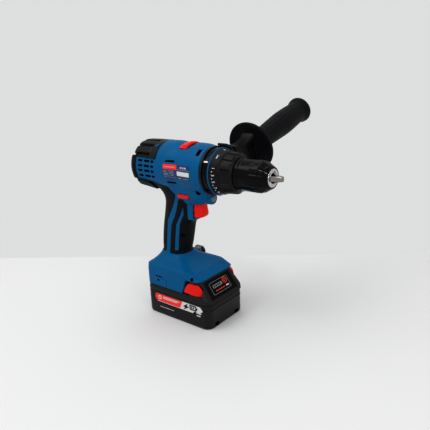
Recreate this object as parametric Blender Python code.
"""Cordless drill driver with a side handle, modelled as separate named parts.

Frame: the origin is the middle of the battery's flat base, +X points along the chuck,
+Y to the tool's left, where the side handle is, and +Z up. Every size below is in
millimetres; mesh_object() turns them into metres.
"""

import math

import bmesh
import bpy
from mathutils import Matrix, Vector

MM = 0.001

# ---------------------------------------------------------------- driving dimensions
GAP = 0.3                    # clearance left between neighbouring pieces
AXIS_Z = 206.0               # height of the motor and chuck axis
BARREL_REAR = -73.0
BARREL_FRONT = 44.0
CAP_EDGE = -63.0             # where the rear cap's full rim ends
CAP_ROOF_EDGE = -29.0        # where the cap's top tongue ends
CAP_ROOF_Z = 219.5
OVERMOULD = 2.2              # thickness of the rubber skin
WALL = 4.4                   # housing wall, overmould included
BORE_R = 28.3                # clear bore of the barrel round motor and gearbox

FOOT_HALF = 37.5
FOOT_REAR = -56.0
SEAM_Z = 42.3                # where foot and battery meet
FOOT_FRONT_Z = 62.8          # underside of the foot's front overhang
RAIL_NECK = 24.0
RAIL_HEAD = 30.0
RAIL_TOP = 58.7

BATTERY_LENGTH = 112.0
BATTERY_WIDTH = 76.4
BATTERY_CORNER = 10.6
BATTERY_SPLIT = 30.0
BATTERY_DECK = 42.0
BATTERY_WALL = 2.2
NOTCH_DEPTH = 1.4            # of the two small slots low on the battery's front
CELL_R = 9.1
CELL_LENGTH = 65.0
CELL_PITCH = 18.8
CELLS_PER_LAYER = 5

MODULE = 1.0
SUN_TEETH = 12
PLANET_TEETH = 15
RING_TEETH = SUN_TEETH + 2 * PLANET_TEETH
PLANET_ORBIT = MODULE * (SUN_TEETH + PLANET_TEETH) / 2
PLANET_ANGLES = (90.0, 210.0, 330.0)
GEAR_X = (2.6, 12.0)

CHUCK_BACK = 87.2
CHUCK_FRONT = 131.0
JAW_TIP = 143.0
JAW_LENGTH = 30.0
JAW_TILT = 15.0
JAW_R = 3.1
JAW_TIP_OFFSET = 1.5         # distance of the jaw's own axis from the chuck axis at the tip
JAW_ANGLES = (60.0, 180.0, 300.0)

HANDLE_X = 51.1              # middle of the side handle, along the barrel
HANDLE_RISE = 15.2           # degrees above +Y
FLANGE_R = 34.2
HANDLE_END = 211.0

TRIGGER_BACK = 10.6
TRIGGER_FRONT = 31.0
TRIGGER_Z = (141.2, 160.6)
LAMP_Z = 169.0

AXIS = Vector((0.0, 0.0, AXIS_Z))

MATERIALS = {
    "blue_plastic": ((0.012, 0.09, 0.24), 0.5, 0.0),
    "black_plastic": ((0.016, 0.016, 0.019), 0.45, 0.0),
    "black_rubber": ((0.014, 0.014, 0.017), 0.75, 0.0),
    "gloss_black": ((0.012, 0.012, 0.014), 0.2, 0.0),
    "red_plastic": ((0.62, 0.02, 0.008), 0.42, 0.0),
    "white_plastic": ((0.8, 0.8, 0.8), 0.45, 0.0),
    "steel": ((0.45, 0.45, 0.46), 0.32, 1.0),
    "chrome": ((0.75, 0.75, 0.77), 0.12, 1.0),
    "dark_steel": ((0.16, 0.16, 0.17), 0.4, 1.0),
    "copper": ((0.62, 0.28, 0.13), 0.4, 1.0),
    "brass": ((0.7, 0.5, 0.2), 0.3, 1.0),
    "clear_lens": ((0.8, 0.82, 0.85), 0.08, 0.0),
    "board_green": ((0.01, 0.12, 0.05), 0.5, 0.0),
    "cell_wrap": ((0.05, 0.25, 0.12), 0.4, 0.0),
}


# ---------------------------------------------------------------- making solids
def clear_scene():
    for old in list(bpy.data.objects):
        bpy.data.objects.remove(old, do_unlink=True)


def material(slot):
    """The plain shader of one material slot, made once."""
    found = bpy.data.materials.get(slot)
    if found:
        return found
    colour, roughness, metallic = MATERIALS[slot]
    made = bpy.data.materials.new(slot)
    made.use_nodes = True
    shader = made.node_tree.nodes["Principled BSDF"]
    shader.inputs["Base Color"].default_value = (*colour, 1.0)
    shader.inputs["Roughness"].default_value = roughness
    shader.inputs["Metallic"].default_value = metallic
    return made


def mesh_object(name, slot, points, faces, origin=(0.0, 0.0, 0.0)):
    """One closed mesh from points in millimetres; its origin goes to the given place."""
    place = Vector(origin)
    mesh = bpy.data.meshes.new(name)
    mesh.from_pydata([(Vector(point) - place) * MM for point in points], [], faces)
    shell = bmesh.new()
    shell.from_mesh(mesh)
    bmesh.ops.recalc_face_normals(shell, faces=shell.faces)
    shell.to_mesh(mesh)
    shell.free()
    mesh.materials.append(material(slot))
    mesh.shade_smooth()
    mesh.set_sharp_from_angle(angle=math.radians(32))
    made = bpy.data.objects.new(name, mesh)
    made.location = place * MM
    bpy.context.scene.collection.objects.link(made)
    return made


def as_guide(made):
    """Marks a helper solid that only shapes other pieces."""
    made.hide_render = True
    made.display_type = "WIRE"
    return made


def boolean(target, other, operation="DIFFERENCE"):
    step = target.modifiers.new(operation.lower() + "_" + other.name, "BOOLEAN")
    step.operation = operation
    step.object = as_guide(other)
    return target


def baked(source, name, mirrored=False):
    """A plain mesh object of the source as its modifiers leave it, or mirrored across y = 0."""
    bpy.context.view_layer.update()
    graph = bpy.context.evaluated_depsgraph_get()
    mesh = bpy.data.meshes.new_from_object(source.evaluated_get(graph))
    if mirrored:
        mesh.transform(Matrix.Scale(-1.0, 4, (0.0, 1.0, 0.0)))
        mesh.flip_normals()
    made = bpy.data.objects.new(name, mesh)
    bpy.context.scene.collection.objects.link(made)
    return made


def loft(name, slot, rings, origin=(0.0, 0.0, 0.0)):
    """A solid through rings of equal point count, with a flat cap at each end."""
    count = len(rings[0])
    points = [point for ring in rings for point in ring]
    faces = []
    for step in range(len(rings) - 1):
        for index in range(count):
            after = (index + 1) % count
            low, high = step * count, (step + 1) * count
            faces.append((low + index, low + after, high + after, high + index))
    faces.append(tuple(range(count)))
    faces.append(tuple(range((len(rings) - 1) * count, len(rings) * count)))
    return mesh_object(name, slot, points, faces, origin)


def turned(name, slot, profile, base=AXIS, axis=(1.0, 0.0, 0.0), sides=32, hollow=False, origin=None):
    """Turns (distance along the axis, radius) points; a hollow profile is a closed loop."""
    along = Vector(axis).normalized()
    across = along.orthogonal().normalized()
    third = along.cross(across)
    points = []
    rows = []
    for distance, radius in profile:
        middle = Vector(base) + along * distance
        if radius < 1e-6:
            rows.append([len(points)] * sides)
            points.append(middle)
            continue
        rows.append(list(range(len(points), len(points) + sides)))
        for index in range(sides):
            angle = math.tau * index / sides
            points.append(middle + (across * math.cos(angle) + third * math.sin(angle)) * radius)
    faces = []
    pairs = list(zip(rows, rows[1:]))
    if hollow:
        pairs.append((rows[-1], rows[0]))
    for first, second in pairs:
        for index in range(sides):
            after = (index + 1) % sides
            corners = [first[index], first[after], second[after], second[index]]
            face = tuple(dict.fromkeys(corners))
            if len(face) > 2:
                faces.append(face)
    place = base if origin is None else origin
    return mesh_object(name, slot, points, faces, place)


def rod(name, slot, start, end, radius, sides=16, origin=None):
    """A plain round bar between two points."""
    first, last = Vector(start), Vector(end)
    profile = [(0.0, 0.0), (0.0, radius), ((last - first).length, radius), ((last - first).length, 0.0)]
    return turned(name, slot, profile, first, last - first, sides, origin=origin or start)


def prism(name, slot, outline, plane, low, high, origin=(0.0, 0.0, 0.0)):
    """An outline drawn in the XZ, YZ or XY plane, extruded along the third axis."""
    def place(point, depth):
        first, second = point
        return {"XZ": (first, depth, second), "YZ": (depth, first, second),
                "XY": (first, second, depth)}[plane]

    return loft(name, slot, [[place(point, depth) for point in outline] for depth in (low, high)], origin)


def box(name, slot, low, high, origin=(0.0, 0.0, 0.0)):
    outline = [(low[0], low[1]), (high[0], low[1]), (high[0], high[1]), (low[0], high[1])]
    return prism(name, slot, outline, "XY", low[2], high[2], origin)


def boxes(name, slot, corners):
    """Several separate boxes in one mesh, for cutting a row of openings."""
    points, faces = [], []
    for low, high in corners:
        start = len(points)
        for z in (low[2], high[2]):
            points += [(low[0], low[1], z), (high[0], low[1], z), (high[0], high[1], z),
                       (low[0], high[1], z)]
        faces += [tuple(start + corner for corner in face) for face in
                  ((0, 1, 2, 3), (4, 5, 6, 7), (0, 1, 5, 4), (1, 2, 6, 5), (2, 3, 7, 6), (3, 0, 4, 7))]
    return mesh_object(name, slot, points, faces)


def rounded_rectangle(x_low, x_high, y_low, y_high, radius, per_corner=4):
    """Corner points of a rectangle with round corners, anticlockwise."""
    centres = [(x_high - radius, y_high - radius, 0), (x_low + radius, y_high - radius, 90),
               (x_low + radius, y_low + radius, 180), (x_high - radius, y_low + radius, 270)]
    points = []
    for centre_x, centre_y, start in centres:
        for index in range(per_corner + 1):
            angle = math.radians(start + 90.0 * index / per_corner)
            points.append((centre_x + radius * math.cos(angle), centre_y + radius * math.sin(angle)))
    return points


def rectangle_loft(name, slot, levels, per_corner=4, origin=(0.0, 0.0, 0.0)):
    """A loft through rounded rectangles: (z, low x, high x, half width, corner radius)."""
    rings = []
    for z, x_low, x_high, half, radius in levels:
        outline = rounded_rectangle(x_low, x_high, -half, half, radius, per_corner)
        rings.append([(x, y, z) for x, y in outline])
    return loft(name, slot, rings, origin)


def oval_ring(z, x_low, x_high, half, power=2.4, sides=20):
    """A flattened oval at height z, squarer as the power rises."""
    centre, reach = (x_low + x_high) / 2, (x_high - x_low) / 2
    ring = []
    for index in range(sides):
        angle = math.tau * (index + 0.5) / sides
        cosine, sine = math.cos(angle), math.sin(angle)
        x = centre + reach * math.copysign(abs(cosine) ** (2 / power), cosine)
        y = half * math.copysign(abs(sine) ** (2 / power), sine)
        ring.append((x, y, z))
    return ring


# ---------------------------------------------------------------- the outer form
# distance along X and radius of the barrel, from rear to front
BARREL_PROFILE = ((-73.0, 26.5), (-71.0, 31.0), (-62.0, 32.4), (-45.0, 33.2), (-20.0, 34.0), (-8.0, 34.0),
                  (-1.0, 32.3), (8.0, 32.3), (19.0, 33.3), (33.0, 33.0), (40.0, 31.4),
                  (BARREL_FRONT, 31.0))
# each level of the neck and of the chin: z, low x, high x, half width
NECK_LEVELS = ((80.0, -47.5, -4.0, 18.5), (86.0, -46.5, -7.0, 17.4), (100.0, -46.4, -3.2, 17.0),
               (130.0, -42.0, 4.0, 17.0), (136.0, -40.8, 9.5, 17.0), (150.0, -37.5, 10.0, 17.5),
               (160.0, -36.0, 12.0, 18.0), (170.0, -38.0, 14.0, 20.0), (181.0, -47.0, 20.0, 23.0),
               (190.0, -44.0, 18.0, 21.0))
CHIN_LEVELS = ((161.5, -26.0, 31.0, 15.5), (169.0, -28.0, 37.5, 19.0), (178.0, -30.0, BARREL_FRONT, 22.0),
               (190.0, -30.0, BARREL_FRONT, 25.0))
# the cheeks beside the trigger and the ledge under it
GUARD_OUTLINE = ((-6.0, 136.2), (14.0, 136.6), (20.5, 137.4), (22.5, 139.6), (17.4, 142.2), (16.4, 146.0),
                 (16.2, 154.0), (17.4, 160.0), (17.4, 168.0), (-6.0, 168.0))
GUARD_HALF = 12.6
# the skirt's levels are (z, high x); the roof's are (z, low x, high x, half width, corner radius)
FOOT_SKIRT = ((SEAM_Z, 6.0), (49.0, 11.0), (63.0, 19.5))
FOOT_TOP = ((FOOT_FRONT_Z, -56.0, 40.0, 37.5, 9.0), (65.5, -56.0, 42.0, 37.5, 9.0),
            (72.0, -54.5, 24.0, 36.8, 9.0), (74.0, -52.0, 17.0, 33.5, 9.0), (78.0, -49.0, 8.0, 26.0, 9.0),
            (83.0, -47.0, -2.0, 20.0, 9.0), (90.0, -46.5, -6.5, 17.0, 9.0))


def shrink(levels, inset):
    """The same levels with every wall moved inwards."""
    return [(z, x_low + inset, x_high - inset, half - inset) + tuple(rest)
            for z, x_low, x_high, half, *rest in levels]


def outer_form(name, inset):
    """Barrel, neck, chin and foot in one guide solid, every wall moved inwards by the inset."""
    profile = [(x, radius - inset) for x, radius in BARREL_PROFILE]
    first, last = profile[0], profile[-1]
    form = turned(name, "blue_plastic",
                  [(first[0] + inset, 0.0), (first[0] + inset, first[1])] + profile[1:-1]
                  + [last, (last[0], 0.0)], sides=32)
    neck = loft(name + "_neck", "blue_plastic",
                [oval_ring(*level) for level in shrink(NECK_LEVELS, inset)])
    chin = loft(name + "_chin", "blue_plastic",
                [oval_ring(z + (inset if z < 165.0 else 0.0), *rest, power=3.0)
                 for z, *rest in shrink(CHIN_LEVELS, inset)])
    guard = prism(name + "_guard", "blue_plastic", widened(GUARD_OUTLINE, -inset), "XZ",
                  inset - GUARD_HALF, GUARD_HALF - inset)
    boolean(form, neck, "UNION")
    boolean(form, chin, "UNION")
    boolean(form, guard, "UNION")
    return as_guide(form)


def foot_form(name, inset):
    """The foot: a skirt behind the battery's front block, and a roof that narrows into the handle."""
    top = [(z, low + inset, high - inset, half - inset, radius - inset / 2)
           for z, low, high, half, radius in FOOT_TOP]
    form = rectangle_loft(name, "blue_plastic", top)
    skirt = rectangle_loft(name + "_skirt", "blue_plastic",
                           [(z, FOOT_REAR + inset, high - inset, FOOT_HALF - inset, 9.0 - inset / 2)
                            for z, high in FOOT_SKIRT])
    boolean(form, skirt, "UNION")
    return as_guide(form)


BACK_GRIP_OUTLINE = ((-62.4, 165.0), (-62.4, 186.0), (-55.0, 187.2), (-38.7, 188.0), (-28.0, 184.6),
                     (-17.0, 183.4), (-6.2, 172.8), (-9.3, 165.4), (-18.2, 149.2), (-27.6, 133.1),
                     (-29.6, 117.0), (-33.4, 87.5), (-60.0, 87.5), (-60.0, 150.0))
FRONT_GRIP_OUTLINE = ((-3.8, 164.5), (-1.8, 166.6), (4.6, 166.2), (6.2, 162.0), (6.2, 137.4),
                      (12.0, 134.0), (12.0, 86.5), (-25.8, 86.5), (-22.4, 112.0), (-19.4, 128.5),
                      (-12.8, 140.2), (-7.8, 152.0))
STRIPE_OUTLINE = ((1.8, 157.0), (1.4, 144.5), (-6.1, 129.5), (-8.8, 114.7), (-12.2, 91.5),
                  (-17.9, 91.5), (-14.8, 114.1), (-12.0, 129.6), (-3.8, 144.2))


def widened(outline, amount):
    """The outline with every side moved outwards by the amount."""
    count = len(outline)
    area = sum(outline[i][0] * outline[(i + 1) % count][1] - outline[(i + 1) % count][0] * outline[i][1]
               for i in range(count))
    turn = 1.0 if area > 0 else -1.0
    moved = []
    for index in range(count):
        here = Vector(outline[index])
        into = (here - Vector(outline[index - 1])).normalized()
        out = (Vector(outline[(index + 1) % count]) - here).normalized()
        first = Vector((into.y, -into.x)) * turn
        second = Vector((out.y, -out.x)) * turn
        joint = (first + second).normalized()
        moved.append(tuple(here + joint * amount / max(0.3, joint.dot(first))))
    return moved


# ---------------------------------------------------------------- housing and overmould
def housing_cavity():
    """The space inside the shells: motor tunnel, hollow handle and board room in the foot."""
    tunnel = turned("tunnel_guide", "blue_plastic",
                    [(-80.0, 0.0), (-80.0, BORE_R), (50.0, BORE_R), (50.0, 0.0)], sides=30)
    neck_levels = [level for level in shrink(NECK_LEVELS, WALL) if level[0] > 84.0]
    neck_levels = [(70.0, -40.0, -14.0, 12.0)] + neck_levels + [(190.0, -40.0, 20.0, 18.0)]
    neck = loft("neck_hollow_guide", "blue_plastic", [oval_ring(*level) for level in neck_levels])
    board_room = rectangle_loft("board_room_guide", "blue_plastic",
                                [(58.0, -51.0, 14.0, 30.0, 5.0), (66.0, -51.0, 18.0, 30.0, 5.0),
                                 (70.5, -48.0, 12.0, 28.0, 5.0)])
    rail = prism("rail_guide", "blue_plastic",
                 ((-RAIL_NECK, 40.0), (RAIL_NECK, 40.0), (RAIL_NECK, 48.0), (RAIL_HEAD, 48.0),
                  (RAIL_HEAD, RAIL_TOP), (-RAIL_HEAD, RAIL_TOP), (-RAIL_HEAD, 48.0), (-RAIL_NECK, 48.0)),
                 "YZ", -52.0, 60.0)
    boolean(tunnel, neck, "UNION")
    boolean(tunnel, board_room, "UNION")
    boolean(tunnel, rail, "UNION")
    return tunnel


def vent_slots():
    """Four rows of three cooling slots beside the motor, and one long slot above and below the label."""
    corners = []
    for row_z in (194.1, 201.2, 207.6, 214.1):
        for x_low, x_high in ((-59.5, -51.5), (-48.5, -38.6), (-36.6, -31.0)):
            corners.append(((x_low, -45.0, row_z), (x_high, 45.0, row_z + 2.9)))
    corners.append(((-10.5, -45.0, 189.6), (3.3, 45.0, 192.0)))
    corners.append(((-10.5, -45.0, 217.4), (3.3, 45.0, 219.8)))
    return boxes("vent_guide", "blue_plastic", corners)


SCREW_SPOTS = {"chin": (33.0, 180.0), "tang": (-33.0, 176.6), "handle": (-4.6, 114.0),
               "foot": (29.5, 66.6)}
SCREW_HEAD_R = 2.7
SCREW_DEPTH = {"chin": -17.0, "tang": -15.0, "handle": -9.0, "foot": -30.0}


def screw_hole(name):
    """A counterbore from the right side, down to the seat of one housing screw."""
    x, z = SCREW_SPOTS[name]
    return rod("hole_guide_" + name, "blue_plastic", (x, -60.0, z), (x, SCREW_DEPTH[name], z),
               SCREW_HEAD_R + GAP, 12)


def screw_holes():
    return [screw_hole(name) for name in SCREW_SPOTS]


def fixed_openings():
    """Cut-outs for the trigger, both selectors, the lamp and the rear cap."""
    trigger = box("trigger_guide", "blue_plastic", (2.2, -10.75, TRIGGER_Z[0] - 0.7),
                  (60.0, 10.75, TRIGGER_Z[1] + 0.45))
    direction = box("direction_guide", "blue_plastic", (-2.0, -60.0, 169.0), (17.8, 60.0, 175.2))
    seat = arc_block("gear_seat_guide", "blue_plastic", 2.4, 20.8, 30.7, 40.0, -32.6, 32.6)
    stem = box("gear_stem_guide", "blue_plastic", (4.6, -6.6, AXIS_Z + 20.0), (18.6, 6.6, AXIS_Z + 40.0))
    lamp = rod("lamp_guide", "blue_plastic", (30.0, 0.0, LAMP_Z), (60.0, 0.0, LAMP_Z), 5.5, 16)
    cap_outline = ((-90.0, 150.0), (CAP_EDGE + GAP, 150.0), (CAP_EDGE + GAP, CAP_ROOF_Z - GAP),
                   (CAP_ROOF_EDGE + GAP, CAP_ROOF_Z - GAP), (CAP_ROOF_EDGE + GAP, 260.0), (-90.0, 260.0))
    cap = prism("cap_space_guide", "blue_plastic", cap_outline, "XZ", -60.0, 60.0)
    return [cap, trigger, direction, seat, stem, lamp]


def arc_block(name, slot, x_low, x_high, r_low, r_high, from_top, to_top, origin=(0.0, 0.0, 0.0),
              pieces=10):
    """A curved block round the barrel axis, between two angles measured from straight up towards +Y."""
    rings = []
    for index in range(pieces + 1):
        angle = math.radians(from_top + (to_top - from_top) * index / pieces)
        ring = []
        for x, radius in ((x_low, r_low), (x_high, r_low), (x_high, r_high), (x_low, r_high)):
            ring.append((x, radius * math.sin(angle), AXIS_Z + radius * math.cos(angle)))
        rings.append(ring)
    return loft(name, slot, rings, origin)


def build_shells():
    """Two housing halves, four rubber grips and the rear cap, all cut from the same outer form."""
    outer, foot = outer_form("outer_guide", 0.0), foot_form("foot_guide", 0.0)
    core = outer_form("core_guide", OVERMOULD)
    outer_plus = outer_form("grip_outer_guide", 0.0)
    foot_cut = box("foot_cut_guide", "blue_plastic", (-100.0, -60.0, 60.0), (60.0, 60.0, 86.5))
    boolean(outer_plus, foot_cut)
    grip_spaces = []
    for name, outline in (("back", BACK_GRIP_OUTLINE), ("front", FRONT_GRIP_OUTLINE)):
        space = prism(name + "_grip_space", "black_rubber", widened(outline, GAP), "XZ", -60.0, 60.0)
        if name == "front":
            stripe = prism("stripe_space", "black_rubber", widened(STRIPE_OUTLINE, -GAP), "XZ", -70.0,
                           70.0)
            boolean(space, stripe)
        boolean(space, core)
        grip_spaces.append(space)
    grip_core = outer_form("grip_core_guide", OVERMOULD - GAP)
    cutters = fixed_openings() + [housing_cavity(), vent_slots()] + grip_spaces
    low, high = -60.0, -GAP / 2
    shell = box("shell_guide", "blue_plastic", (-90.0, low, 30.0), (90.0, high, 260.0))
    half_foot = box("foot_half_guide", "blue_plastic", (-90.0, low, 30.0), (90.0, high, 100.0))
    boolean(half_foot, foot, "INTERSECT")
    boolean(shell, outer, "INTERSECT")
    boolean(shell, half_foot, "UNION")
    for cutter in cutters:
        boolean(shell, cutter)
    finish_pair(shell, "housing", screw_holes())
    build_grips(low, high, outer_plus, grip_core)


def build_grips(low, high, form, grip_core):
    back = prism("back_grip_guide", "black_rubber", BACK_GRIP_OUTLINE, "XZ", low, high)
    front = prism("front_grip_guide", "black_rubber", FRONT_GRIP_OUTLINE, "XZ", low, high)
    for grip in (back, front):
        boolean(grip, form, "INTERSECT")
        boolean(grip, grip_core)
    boolean(front, prism("stripe_guide", "black_rubber", STRIPE_OUTLINE, "XZ", -70.0, 70.0))
    finish_pair(back, "back_grip", [screw_hole("tang")])
    finish_pair(front, "front_grip", [screw_hole("handle")])


def finish_pair(half, name, holes):
    """The right half with its screw holes, and the left half as its mirror image without them."""
    as_guide(half)
    right = baked(half, name + "_right")
    baked(half, name + "_left", mirrored=True)
    for hole in holes:
        boolean(right, hole)


def build_rear_cap():
    """Ribbed rear cap with a tongue over the motor and a seat for the rear bearing."""
    profile = [(x, radius) for x, radius in BARREL_PROFILE if x < -15.0]
    outline = ((-90.0, 150.0), (CAP_EDGE, 150.0), (CAP_EDGE, CAP_ROOF_Z), (CAP_ROOF_EDGE, CAP_ROOF_Z),
               (CAP_ROOF_EDGE, 260.0), (-90.0, 260.0))
    cap = prism("rear_cap", "black_plastic", outline, "XZ", -60.0, 60.0)
    form = turned("cap_form_guide", "black_plastic",
                  [(BARREL_REAR, 0.0)] + profile + [(-20.0, 0.0)], sides=32)
    hollow = turned("cap_hollow_guide", "black_plastic",
                    [(-70.6, 0.0), (-70.6, 26.0), (-68.0, BORE_R), (-15.0, BORE_R), (-15.0, 0.0)],
                    sides=32)
    seat = turned("bearing_seat_guide", "black_plastic",
                  [(-71.5, 10.2), (-61.4, 10.2), (-61.4, 8.3), (-71.5, 8.3)], sides=20, hollow=True)
    boolean(cap, form, "INTERSECT")
    boolean(cap, hollow)
    boolean(cap, seat, "UNION")


# ---------------------------------------------------------------- motor and gearbox
def gear_outline(teeth, root_r, tip_r, root_half, tip_half, first_tooth):
    """Trapezoid teeth round a circle: four points for each tooth."""
    outline = []
    for tooth in range(teeth):
        middle = math.radians(first_tooth) + math.tau * tooth / teeth
        for radius, half in ((root_r, -root_half), (tip_r, -tip_half), (tip_r, tip_half),
                             (root_r, root_half)):
            angle = middle + half / radius
            outline.append((radius * math.cos(angle), radius * math.sin(angle)))
    return outline


def gear(name, slot, teeth, centre, first_tooth, bore_r):
    """A spur gear on an axis along X, its outline given in the YZ plane."""
    pitch_r = MODULE * teeth / 2
    outline = gear_outline(teeth, pitch_r - 1.3, pitch_r + 0.95, 0.86, 0.3, first_tooth)
    placed = [(centre[1] + y, centre[2] + z) for y, z in outline]
    made = prism(name, slot, placed, "YZ", *GEAR_X, origin=centre)
    bore = rod(name + "_bore", slot, (GEAR_X[0] - 2, centre[1], centre[2]),
               (GEAR_X[1] + 2, centre[1], centre[2]), bore_r, 12)
    return boolean(made, bore)


def planet_centre(angle, x=0.0):
    turn = math.radians(angle)
    return (x, PLANET_ORBIT * math.cos(turn), AXIS_Z + PLANET_ORBIT * math.sin(turn))


def build_motor():
    turned("motor_stator", "dark_steel", [(-50.0, 26.4), (-14.0, 26.4), (-14.0, 15.4), (-50.0, 15.4)],
           hollow=True)
    turned("motor_rotor", "copper", [(-48.0, 14.6), (-16.0, 14.6), (-16.0, 2.8), (-48.0, 2.8)], sides=24,
           hollow=True)
    rod("motor_shaft", "steel", (-66.0, 0.0, AXIS_Z), (11.6, 0.0, AXIS_Z), 2.5, 12)
    for name, start in (("rear_bearing", -66.0), ("front_bearing", -8.6)):
        turned(name, "steel", [(start, 8.0), (start + 4.6, 8.0), (start + 4.6, 2.8), (start, 2.8)],
               sides=20, hollow=True)
    fan = turned("cooling_fan", "black_plastic",
                 [(-59.0, 6.0), (-57.4, 24.0), (-56.0, 24.0), (-56.0, 6.0), (-52.6, 6.0), (-52.6, 2.8),
                  (-59.0, 2.8)],
                 sides=24, hollow=True)
    blade_count = 8
    for index in range(blade_count):
        turn = Matrix.Rotation(math.tau * index / blade_count, 3, "X")
        outline = ((9.0, -0.6), (23.0, -0.6), (23.0, 0.6), (9.0, 0.6))
        rings = [[AXIS + turn @ Vector((x, y, z)) for y, z in outline] for x in (-56.6, -52.8)]
        boolean(fan, loft("fan_blade_" + str(index), "black_plastic", rings), "UNION")


def build_gearbox():
    turned("gearbox_case", "dark_steel",
           [(-9.0, 26.4), (41.0, 26.4), (41.0, 24.9), (-3.4, 24.9), (-3.4, 8.3), (-9.0, 8.3)],
           hollow=True)
    ring = rod("ring_gear", "steel", (GEAR_X[0], 0.0, AXIS_Z), (GEAR_X[1], 0.0, AXIS_Z), 24.6, 36,
               origin=AXIS)
    ring_r = MODULE * RING_TEETH / 2
    teeth = gear_outline(RING_TEETH, ring_r - 0.9, ring_r + 1.35, 1.15, 0.46, PLANET_ANGLES[0])
    inside = prism("ring_space_guide", "steel", [(y, AXIS_Z + z) for y, z in teeth], "YZ", GEAR_X[0] - 2,
                   GEAR_X[1] + 2)
    boolean(ring, inside)
    gear("sun_gear", "steel", SUN_TEETH, tuple(AXIS), PLANET_ANGLES[0], 2.8)
    half_step = 180.0 / PLANET_TEETH
    for number, angle in enumerate(PLANET_ANGLES, 1):
        gear("planet_gear_" + str(number), "steel", PLANET_TEETH, planet_centre(angle),
             angle + 180.0 + half_step, 2.8)
    carrier = turned("planet_carrier", "steel", [(12.4, 0.0), (12.4, 19.2), (16.6, 19.2), (16.6, 0.0)],
                     sides=28)
    for number, angle in enumerate(PLANET_ANGLES, 1):
        pin = rod("planet_pin_" + str(number), "steel", planet_centre(angle, 3.0),
                  planet_centre(angle, 14.0), 2.45, 12)
        boolean(carrier, pin, "UNION")
    spindle = [(16.9, 0.0), (16.9, 9.0), (24.0, 9.0), (26.0, 7.0), (60.0, 7.0), (62.0, 6.0), (98.0, 6.0),
               (98.0, 2.8), (89.0, 2.8), (89.0, 0.0)]
    turned("spindle", "steel", spindle, sides=20)
    turned("spindle_bearing", "steel", [(76.0, 13.6), (84.0, 13.6), (84.0, 6.3), (76.0, 6.3)], sides=24,
           hollow=True)


def helix(name, slot, start, length, coil_r, wire_r, turns, origin, per_turn=14, sides=5):
    """A round wire wound along X."""
    rings = []
    steps = int(turns * per_turn)
    for step in range(steps + 1):
        angle = math.tau * step / per_turn
        radial = Vector((0.0, math.cos(angle), math.sin(angle)))
        middle = Vector(start) + Vector((length * step / steps, 0.0, 0.0)) + radial * coil_r
        ring = []
        for index in range(sides):
            around = math.tau * index / sides
            sideways = Vector((wire_r * math.sin(around), 0.0, 0.0))
            ring.append(middle + radial * wire_r * math.cos(around) + sideways)
        rings.append(ring)
    return loft(name, slot, rings, origin)


def build_nose():
    """The black nose collar with its inner tube, the trim ring, pointer, clutch parts and torque collar."""
    turned("nose_collar", "gloss_black",
           [(41.6, 28.0), (48.0, 28.0), (48.0, 29.4), (55.8, 29.4), (55.8, 17.0), (84.6, 17.0),
            (84.6, 13.9),
            (75.6, 13.9), (75.6, 9.2), (50.0, 9.2), (50.0, 24.0), (41.6, 24.0)], sides=32, hollow=True)
    turned("trim_ring", "blue_plastic", [(56.1, 29.9), (57.9, 29.9), (57.9, 17.3), (56.1, 17.3)],
           sides=32, hollow=True)
    arc_block("index_pointer", "white_plastic", 48.6, 55.4, 29.75, 30.6, -59.0, -55.4, pieces=2)
    turned("clutch_plate", "steel", [(59.0, 22.0), (60.6, 22.0), (60.6, 17.4), (59.0, 17.4)], sides=20,
           hollow=True)
    helix("clutch_spring", "steel", (62.4, 0.0, AXIS_Z), 17.0, 19.2, 1.1, 3.0, AXIS, 14, 4)
    collar = turned("torque_collar", "black_plastic",
                    [(58.2, 29.4), (69.6, 26.2), (70.6, 24.6), (83.4, 23.2), (86.7, 21.4), (86.7, 17.4),
                     (82.2, 17.4), (82.2, 21.0), (62.0, 23.4), (58.2, 23.4)], sides=24, hollow=True)
    lobes = 12
    for index in range(lobes):
        turn = Matrix.Rotation(math.tau * index / lobes, 3, "X")
        rings = []
        for x, radius in ((71.0, 25.7), (83.0, 24.3)):
            outline = ((-3.4, 22.4), (3.4, 22.4), (2.4, radius), (-2.4, radius))
            rings.append([AXIS + turn @ Vector((x, y, z)) for y, z in outline])
        boolean(collar, loft("collar_lobe_" + str(index), "black_plastic", rings), "UNION")


# ---------------------------------------------------------------- chuck
def jaw_frame(angle):
    """The jaw's radial direction, the direction it slides in when it closes, and its tip point."""
    turn = math.radians(angle)
    radial = Vector((0.0, math.cos(turn), math.sin(turn)))
    tilt = math.radians(JAW_TILT)
    closing = Vector((math.cos(tilt), 0.0, 0.0)) - radial * math.sin(tilt)
    tip = AXIS + Vector((JAW_TIP, 0.0, 0.0)) + radial * JAW_TIP_OFFSET
    return radial, closing, tip


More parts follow.
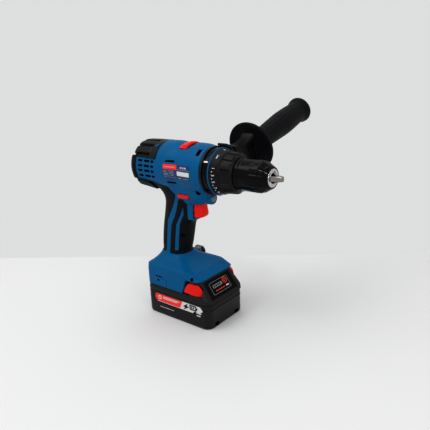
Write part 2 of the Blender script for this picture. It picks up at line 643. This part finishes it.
def build_chuck():
    body = turned("chuck_body", "chrome",
                  [(88.4, 0.0), (88.4, 16.6), (103.2, 16.6), (103.2, 15.2), (110.8, 15.2), (110.8, 16.6),
                   (115.6, 16.6),
                   (126.6, 11.2), (130.6, 11.2), (CHUCK_FRONT, 10.6), (CHUCK_FRONT, 0.0)], sides=24)
    boolean(body, rod("chuck_front_bore", "chrome", (104.0, 0.0, AXIS_Z), (140.0, 0.0, AXIS_Z), 6.5, 20))
    boolean(body, rod("chuck_rear_bore", "chrome", (80.0, 0.0, AXIS_Z), (100.0, 0.0, AXIS_Z), 6.3, 20))
    boolean(body, rod("chuck_screw_bore", "chrome", (95.0, 0.0, AXIS_Z), (110.0, 0.0, AXIS_Z), 2.8, 12))
    turned("chuck_screw", "steel",
           [(90.0, 0.0), (90.0, 2.4), (104.3, 2.4), (104.3, 4.4), (107.4, 4.4), (107.4, 0.0)],
           sides=12)
    sleeve = [(CHUCK_BACK, 20.2), (88.4, 20.8), (91.0, 20.6), (93.4, 19.6), (119.0, 19.5), (127.0, 15.2),
              (130.4, 13.2),
              (130.4, 11.6), (127.0, 11.6), (116.0, 17.0), (112.0, 17.9), (90.6, 17.9), (90.6, 17.0),
              (CHUCK_BACK, 17.0)]
    turned("chuck_sleeve", "gloss_black", sleeve, sides=28, hollow=True)
    turned("chuck_nut", "steel", [(103.6, 17.5), (110.4, 17.5), (110.4, 15.6), (103.6, 15.6)], sides=24,
           hollow=True)
    for number, angle in enumerate(JAW_ANGLES, 1):
        radial, closing, tip = jaw_frame(angle)
        track = rod("jaw_track_" + str(number), "chrome", tip - closing * 53.0, tip + closing * 3.0,
                    JAW_R + GAP, 12)
        boolean(body, track)
        jaw = rod("chuck_jaw_" + str(number), "steel", tip - closing * JAW_LENGTH, tip, JAW_R, 12,
                  origin=tip)
        wedge_side = [radial * 0.2]
        for spread in (-60.0, 60.0):
            wedge_side.append(Matrix.Rotation(math.radians(spread), 3,
                                              "X") @ radial * 30.0 + radial * 0.2)
        wedge_side.append(radial * 60.0)
        outline = [wedge_side[0], wedge_side[1], wedge_side[3], wedge_side[2]]
        rings = [[AXIS + Vector((x, 0.0, 0.0)) + point for point in outline] for x in (90.0, 150.0)]
        boolean(jaw, loft("jaw_wedge_" + str(number), "steel", rings), "INTERSECT")


# ---------------------------------------------------------------- trigger, selectors, lamp, boards
def build_controls():
    outline = ((TRIGGER_BACK, TRIGGER_Z[0]), (23.5, TRIGGER_Z[0]), (29.6, 144.6), (TRIGGER_FRONT, 147.4),
               (28.6, 152.0), (28.4, TRIGGER_Z[1]), (TRIGGER_BACK, TRIGGER_Z[1]))
    trigger = prism("trigger", "red_plastic", outline, "XZ", -10.0, 10.0, (TRIGGER_BACK, 0.0, 150.0))
    boolean(trigger, box("trigger_hollow_guide", "red_plastic", (0.0, -7.0, 144.2), (25.0, 7.0, 158.0)))
    box("switch_module", "black_plastic", (-23.0, -8.0, 138.0), (-1.2, 8.0, 160.0))
    helix("trigger_spring", "steel", (-0.2, 0.0, 150.0), 16.0, 4.0, 0.6, 4.0, (-0.2, 0.0, 150.0), 8, 4)
    selector = [(x, z) for x, z in rounded_rectangle(-1.4, 17.2, 169.6, 174.6, 2.4, 3)]
    prism("direction_selector", "red_plastic", selector, "XZ", -22.0, 22.0, (7.9, 0.0, 172.1))
    gear_selector = arc_block("gear_selector", "red_plastic", 3.0, 14.2, 31.0, 33.8, -31.8, 31.8,
                              (8.6, 0.0, AXIS_Z))
    stem = box("selector_stem_guide", "red_plastic", (6.0, -5.6, AXIS_Z + 27.6),
               (11.4, 5.6, AXIS_Z + 32.0))
    boolean(gear_selector, stem, "UNION")
    lens = [(31.6, 0.0), (31.6, 5.2), (39.6, 5.2), (42.8, 4.2), (44.0, 2.0), (44.2, 0.0)]
    turned("led_lens", "clear_lens", lens, (0.0, 0.0, LAMP_Z), sides=16)
    board = box("control_board", "board_green", (-44.0, -24.0, 61.4), (6.0, 24.0, 63.0))
    for number, (x, y, size,
                 height) in enumerate(((-34.0, -12.0, 5.0, 5.0), (-20.0, 8.0, 6.0, 3.0),
                                       (-6.0, -6.0, 4.0, 3.6))):
        chip = box("chip_" + str(number), "board_green", (x - size, y - size, 62.4),
                   (x + size, y + size, 63.0 + height))
        boolean(board, chip, "UNION")
    terminal = box("terminal_block", "brass", (-51.6, -18.0, 49.6), (-46.8, 18.0, 57.6))
    for number, y in enumerate((-12.0, -4.0, 4.0, 12.0)):
        blade = box("blade_" + str(number), "brass", (-48.0, y - 0.5, 51.0), (-33.0, y + 0.5, 54.6))
        boolean(terminal, blade, "UNION")


def build_screws():
    for name, (x, z) in SCREW_SPOTS.items():
        depth = SCREW_DEPTH[name]
        rod("housing_screw_" + name, "dark_steel", (x, depth - 2.6, z), (x, depth - GAP, z), SCREW_HEAD_R,
            10)


def build_belt_clip():
    """A bent steel strip on the foot's left side, hooked over at the top, and its screw."""
    centre = ((38.9, 50.0), (38.9, 66.0), (40.6, 75.0), (44.4, 79.6), (48.6, 76.0), (50.0, 62.0),
              (49.0, 50.0), (52.0, 44.0))
    half = 0.8
    near, far = [], []
    for index, point in enumerate(centre):
        before = Vector(centre[max(index - 1, 0)])
        after = Vector(centre[min(index + 1, len(centre) - 1)])
        along = (after - before).normalized()
        side = Vector((along.y, -along.x)) * half
        near.append(tuple(Vector(point) + side))
        far.append(tuple(Vector(point) - side))
    prism("belt_clip", "steel", near + far[::-1], "YZ", -34.0, -19.0)
    rod("belt_clip_screw", "dark_steel", (-26.5, 40.1, 57.0), (-26.5, 42.6, 57.0), 4.0, 12)


# ---------------------------------------------------------------- battery
def battery_levels(inset, levels):
    half_length, half_width = BATTERY_LENGTH / 2 - inset, BATTERY_WIDTH / 2 - inset
    return [(z, -half_length + extra, half_length - extra, half_width - extra,
             BATTERY_CORNER - inset - extra / 2)
            for z, extra in levels]


def build_battery():
    lower = rectangle_loft("battery_case_lower", "black_plastic",
                           battery_levels(0.0,
                                          ((0.0, 1.6), (1.6, 0.3), (4.0, 0.0),
                                           (BATTERY_SPLIT - 0.2, 0.0))))
    inside = battery_levels(BATTERY_WALL, ((BATTERY_WALL, 0.8), (3.4, 0.0), (40.0, 0.0)))
    boolean(lower, rectangle_loft("battery_inside_guide", "black_plastic", inside))
    front = BATTERY_LENGTH / 2
    boolean(lower, boxes("battery_notch_guide", "black_plastic",
                         [((front - NOTCH_DEPTH, y - 4.0, 3.2),
                           (front + 4.0, y + 4.0, 5.8)) for y in (-26.0, 26.0)]))
    upper = rectangle_loft("battery_case_upper", "black_plastic",
                           battery_levels(0.0,
                                          ((BATTERY_SPLIT + 0.2, 0.0), (39.0, 0.0), (BATTERY_DECK, 1.4))))
    block = rectangle_loft("battery_block_guide", "black_plastic",
                           [(36.0, 6.6, 55.9, 38.1, 9.0), (40.0, 6.6, 55.6, 38.0, 9.0),
                            (49.0, 11.6, 49.0, 37.6, 8.0),
                            (62.4, 20.6, 38.0, 36.6, 6.0)])
    head = prism("battery_head_guide", "black_plastic",
                 ((-23.4, 36.0), (23.4, 36.0), (23.4, 48.4), (29.4, 48.4), (29.4, 57.6), (-29.4, 57.6),
                  (-29.4, 48.4), (-23.4, 48.4)), "YZ", -46.0, 24.0)
    boolean(upper, block, "UNION")
    boolean(upper, head, "UNION")
    boolean(upper, rectangle_loft("battery_roof_guide", "black_plastic",
                                  battery_levels(BATTERY_WALL, ((20.0, 0.0), (39.6, 0.0)))))
    boolean(upper, box("battery_head_hollow", "black_plastic", (-44.0, -21.4, 36.0), (26.0, 21.4, 55.4)))
    boolean(upper, rectangle_loft("battery_block_hollow", "black_plastic",
                                  [(36.0, 14.0, 50.0, 28.0, 3.0), (46.0, 18.0, 47.0, 28.0, 3.0),
                                   (58.0, 25.0, 36.6, 28.0, 3.0)]))
    boolean(upper, boxes("battery_slot_guide", "black_plastic",
                         [((-50.0, y - 1.2, 50.2), (-31.0, y + 1.2, 55.2)) for y in (-12.0, -4.0, 4.0,
                                                                                     12.0)]))
    button = ((22.8, 60.6), (37.0, 59.4), (44.4, 52.6), (44.6, 45.0), (15.6, 46.2), (17.6, 52.0))
    for side, sign in (("right", -1.0), ("left", 1.0)):
        seat = prism("button_seat_" + side, "black_plastic", widened(button, 0.4), "XZ",
                     *sorted((30.6 * sign, 50.0 * sign)))
        boolean(upper, seat)
        prism("release_button_" + side, "red_plastic", button, "XZ", *sorted((34.0 * sign, 38.6 * sign)),
              (30.0, 36.0 * sign, 52.0))
    cells = box("cell_pack", "cell_wrap", (-44.0, -20.0, 10.0), (44.0, -17.0, 32.0))
    bridge = box("cell_bridge", "cell_wrap", (-44.0, 17.0, 10.0), (44.0, 20.0, 32.0))
    boolean(cells, bridge, "UNION")
    for layer, z in enumerate((11.8, 30.2)):
        for index in range(CELLS_PER_LAYER):
            x = (index - (CELLS_PER_LAYER - 1) / 2) * CELL_PITCH
            cell = rod("cell_" + str(layer) + "_" + str(index), "cell_wrap", (x, -CELL_LENGTH / 2, z),
                       (x, CELL_LENGTH / 2, z), CELL_R, 12)
            boolean(cells, cell, "UNION")
    box("battery_board", "board_green", (-29.0, -20.0, 47.0), (10.0, 20.0, 48.6))


# ---------------------------------------------------------------- side handle
def build_side_handle():
    rise = math.radians(HANDLE_RISE)
    along = Vector((0.0, math.cos(rise), math.sin(rise)))
    across = Vector((0.0, -math.sin(rise), math.cos(rise)))
    base = AXIS + Vector((HANDLE_X, 0.0, 0.0))
    turned("clamp_band", "dark_steel", [(44.3, 31.0), (47.7, 31.0), (47.7, 28.3), (44.3, 28.3)], sides=32,
           hollow=True)
    from_top = 90.0 - HANDLE_RISE
    block = arc_block("clamp_block", "black_plastic", 44.4, 57.8, 31.3, 34.4, from_top - 58.0,
                      from_top + 40.0, tuple(AXIS), pieces=16)
    rings = []
    for distance, x_half, t_half in ((33.0, 6.6, 19.0), (40.0, 8.5, 18.0), (52.0, 9.0, 15.5),
                                     (66.0, 9.5, 17.0), (71.6, 10.5, 20.0)):
        outline = rounded_rectangle(-x_half, x_half, -t_half, t_half, 4.0, 2)
        rings.append([base + Vector((x, 0.0, 0.0)) + across * t + along * distance for x, t in outline])
    stem = loft("clamp_stem_guide", "black_plastic", rings)
    boolean(block, stem, "UNION")
    bolt_hole = rod("clamp_bolt_guide", "black_plastic", base + along * 34.6, base + along * 90.0, 4.3,
                    12)
    boolean(block, bolt_hole)
    clear = turned("clamp_clear_guide", "black_plastic",
                   [(30.0, 0.0), (30.0, 31.3), (70.0, 31.3), (70.0, 0.0)], sides=32)
    boolean(block, clear)
    rod("clamp_bolt", "steel", base + along * 35.0, base + along * 98.0, 4.0, 12,
        origin=base + along * 72.0)
    grip_profile = [(72.0, 30.5), (72.8, FLANGE_R), (75.4, FLANGE_R), (77.2, 30.0), (80.0, 17.5),
                    (86.0, 14.6), (111.0, 14.9),
                    (131.0, 16.0), (151.0, 17.0), (174.0, 16.8), (194.0, 15.7), (203.0, 17.6),
                    (206.6, 18.6), (206.6, 0.0),
                    (100.0, 0.0), (100.0, 4.3), (72.0, 4.3)]
    turned("side_grip", "black_rubber", grip_profile, base, along, 24, hollow=True,
           origin=base + along * 72.0)
    cap = [(206.9, 0.0), (206.9, 18.8), (209.0, 18.6), (HANDLE_END, 16.0), (HANDLE_END, 0.0)]
    turned("grip_end_cap", "black_plastic", cap, base, along, 24, origin=base + along * 72.0)


def main():
    clear_scene()
    build_shells()
    build_rear_cap()
    build_motor()
    build_gearbox()
    build_nose()
    build_chuck()
    build_controls()
    build_screws()
    build_belt_clip()
    build_battery()
    build_side_handle()


main()
